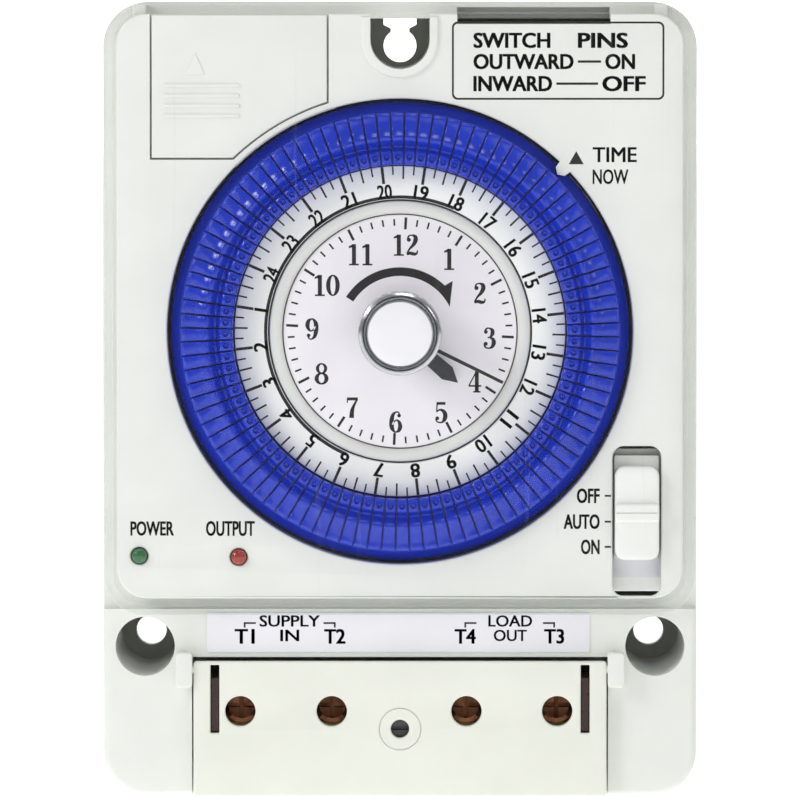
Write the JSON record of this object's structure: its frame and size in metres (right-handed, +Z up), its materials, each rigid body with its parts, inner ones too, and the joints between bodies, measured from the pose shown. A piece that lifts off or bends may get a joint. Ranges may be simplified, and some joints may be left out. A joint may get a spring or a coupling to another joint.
{
  "type": "programmable timer",
  "caption": "Wall-mounted day timer with a clock movement, a dial ringed by switching tappets, a clear hinged cover and covered screw terminals.",
  "frame": {"origin": "centre of the flat back that sits on the wall", "axes": "+Z up the wall, +Y into the wall, so the dial faces -Y"},
  "size_m": [0.1, 0.06, 0.134],
  "materials": {
    "casing": "fine moulded texture",
    "panel": "fine moulded texture",
    "terminal_cover": "satin",
    "clear": "clear, polished",
    "label": "printed film",
    "blue": "moulded, semi-gloss",
    "dial": "printed",
    "face": "printed",
    "face_ring": "satin",
    "hands": "black lacquer",
    "knob": "bright plated",
    "knob_cap": "satin",
    "slider": "moulded, satin",
    "switch_body": "moulded",
    "terminal_block": "moulded phenolic",
    "brass": "stamped",
    "steel": "zinc plated",
    "switch_case": "moulded",
    "plunger": "moulded",
    "board": "lacquered laminate",
    "sleeve": "printed sleeve",
    "green_lens": "tinted, clear",
    "red_lens": "tinted, clear",
    "battery": "wrapped cell",
    "nylon": "moulded"
  },
  "bodies": {
    "case": {"rear_case": "casing", "front_panel": "panel", "terminal_label": "label", "terminal_block": "terminal_block", "terminal_plate_1": "brass", "terminal_plate_2": "brass", "terminal_plate_3": "brass", "terminal_plate_4": "brass", "terminal_screw_1": "brass", "terminal_screw_2": "brass", "terminal_screw_3": "brass", "terminal_screw_4": "brass", "case_screw_1": "steel", "case_screw_2": "steel", "case_screw_3": "steel", "case_screw_4": "steel", "movement_back_plate": "brass", "movement_front_plate": "brass", "motor": "steel", "clock_face": "face", "face_ring": "face_ring", "microswitch": "switch_case", "circuit_board": "board", "relay": "switch_case", "capacitor": "sleeve", "slide_switch": "switch_body", "power_lamp": "green_lens", "output_lamp": "red_lens", "backup_battery": "battery", "battery_cradle": "panel"},
    "clear_cover": {"clear_cover": "clear"},
    "battery_door": {"battery_door": "panel"},
    "terminal_cover": {"terminal_cover": "terminal_cover", "cover_screw": "steel"},
    "minute_arbor": {"centre_arbor": "steel", "centre_wheel": "brass", "minute_hand": "hands", "setting_knob": "knob", "knob_cap": "knob_cap"},
    "minute_wheel": {"minute_wheel": "nylon"},
    "hour_wheel": {"hour_wheel": "nylon", "hour_hand": "hands"},
    "dial_drive_wheel": {"dial_drive_wheel": "nylon"},
    "dial": {"dial_carrier": "blue", "dial_plate": "dial", "tappet_bank": "blue"},
    "third_wheel": {"third_wheel": "brass"},
    "motor_pinion": {"motor_pinion": "brass"},
    "mode_slider": {"mode_slider": "slider"},
    "follower_lever": {"follower_lever": "steel"},
    "switch_plunger": {"switch_plunger": "plunger"},
    "tappet_1": {"tappet_1": "blue"},
    "tappet_2": {"tappet_2": "blue"},
    "tappet_3": {"tappet_3": "blue"},
    "tappet_4": {"tappet_4": "blue"},
    "tappet_5": {"tappet_5": "blue"},
    "tappet_6": {"tappet_6": "blue"},
    "tappet_7": {"tappet_7": "blue"},
    "tappet_8": {"tappet_8": "blue"}
  },
  "joints": [
    {"name": "minute_arbor_turn", "type": "hinge", "parent": "case", "child": "minute_arbor", "pos_m": [0, -0.05, 0.0117], "axis": [0, 1, 0], "continuous": true},
    {"name": "minute_wheel_turn", "type": "hinge", "parent": "case", "child": "minute_wheel", "pos_m": [0.00563, -0.034, 0.0011], "axis": [0, 1, 0], "continuous": true},
    {"name": "hour_wheel_turn", "type": "hinge", "parent": "case", "child": "hour_wheel", "pos_m": [0, -0.04, 0.0117], "axis": [0, 1, 0], "continuous": true},
    {"name": "dial_drive_turn", "type": "hinge", "parent": "case", "child": "dial_drive_wheel", "pos_m": [0.0124, -0.038, -0.00134], "axis": [0, 1, 0], "continuous": true},
    {"name": "dial_turn", "type": "hinge", "parent": "case", "child": "dial", "pos_m": [0, -0.039, 0.0117], "axis": [0, 1, 0], "continuous": true},
    {"name": "third_wheel_turn", "type": "hinge", "parent": "case", "child": "third_wheel", "pos_m": [-0.00373, -0.02, 0.02561], "axis": [0, 1, 0], "continuous": true},
    {"name": "motor_pinion_turn", "type": "hinge", "parent": "case", "child": "motor_pinion", "pos_m": [-0.015, -0.016, 0.02151], "axis": [0, 1, 0], "continuous": true},
    {"name": "clear_cover_hinge", "type": "hinge", "parent": "case", "child": "clear_cover", "pos_m": [0, -0.04, 0.0653], "axis": [-1, 0, 0], "range_deg": [0, 100]},
    {"name": "terminal_cover_hinge", "type": "hinge", "parent": "case", "child": "terminal_cover", "pos_m": [0, -0.0414, -0.0454], "axis": [-1, 0, 0], "range_deg": [0, 90]},
    {"name": "battery_door_slide", "type": "slide", "parent": "case", "child": "battery_door", "axis": [0, 0, 1], "range_m": [0, 0.014]},
    {"name": "mode_slider_slide", "type": "slide", "parent": "case", "child": "mode_slider", "axis": [0, 0, 1], "range_m": [-0.0056, 0.0029]},
    {"name": "follower_lever_turn", "type": "hinge", "parent": "case", "child": "follower_lever", "pos_m": [0.0384, -0.0343, 0.0312], "axis": [0, 1, 0], "range_deg": [0, 6]},
    {"name": "switch_plunger_press", "type": "slide", "parent": "case", "child": "switch_plunger", "axis": [0, 0, 1], "range_m": [0, 0.0009]},
    {"name": "tappet_1_push", "type": "slide", "parent": "dial", "child": "tappet_1", "axis": [0.8916, 0, 0.4528], "range_m": [0, 0.0016]},
    {"name": "tappet_2_push", "type": "slide", "parent": "dial", "child": "tappet_2", "axis": [0.9193, 0, 0.3935], "range_m": [0, 0.0016]},
    {"name": "tappet_3_push", "type": "slide", "parent": "dial", "child": "tappet_3", "axis": [0.9431, 0, 0.3326], "range_m": [0, 0.0016]},
    {"name": "tappet_4_push", "type": "slide", "parent": "dial", "child": "tappet_4", "axis": [0.9628, 0, 0.2702], "range_m": [0, 0.0016]},
    {"name": "tappet_5_push", "type": "slide", "parent": "dial", "child": "tappet_5", "axis": [0.9784, 0, 0.2066], "range_m": [0, 0.0016]},
    {"name": "tappet_6_push", "type": "slide", "parent": "dial", "child": "tappet_6", "axis": [0.9898, 0, 0.1422], "range_m": [0, 0.0016]},
    {"name": "tappet_7_push", "type": "slide", "parent": "dial", "child": "tappet_7", "axis": [0.997, 0, 0.0772], "range_m": [0, 0.0016]},
    {"name": "tappet_8_push", "type": "slide", "parent": "dial", "child": "tappet_8", "axis": [0.9999, 0, 0.0118], "range_m": [0, 0.0016]}
  ],
  "couplings": [
    {"joint": "minute_wheel_turn", "follows": "minute_arbor_turn", "ratio": -0.33333},
    {"joint": "hour_wheel_turn", "follows": "minute_arbor_turn", "ratio": 0.083333},
    {"joint": "dial_drive_turn", "follows": "minute_arbor_turn", "ratio": 0.16667},
    {"joint": "dial_turn", "follows": "minute_arbor_turn", "ratio": 0.041667},
    {"joint": "third_wheel_turn", "follows": "minute_arbor_turn", "ratio": -3},
    {"joint": "motor_pinion_turn", "follows": "minute_arbor_turn", "ratio": 9},
    {"joint": "switch_plunger_press", "follows": "follower_lever_turn", "m_per_rad": 0.008}
  ]
}
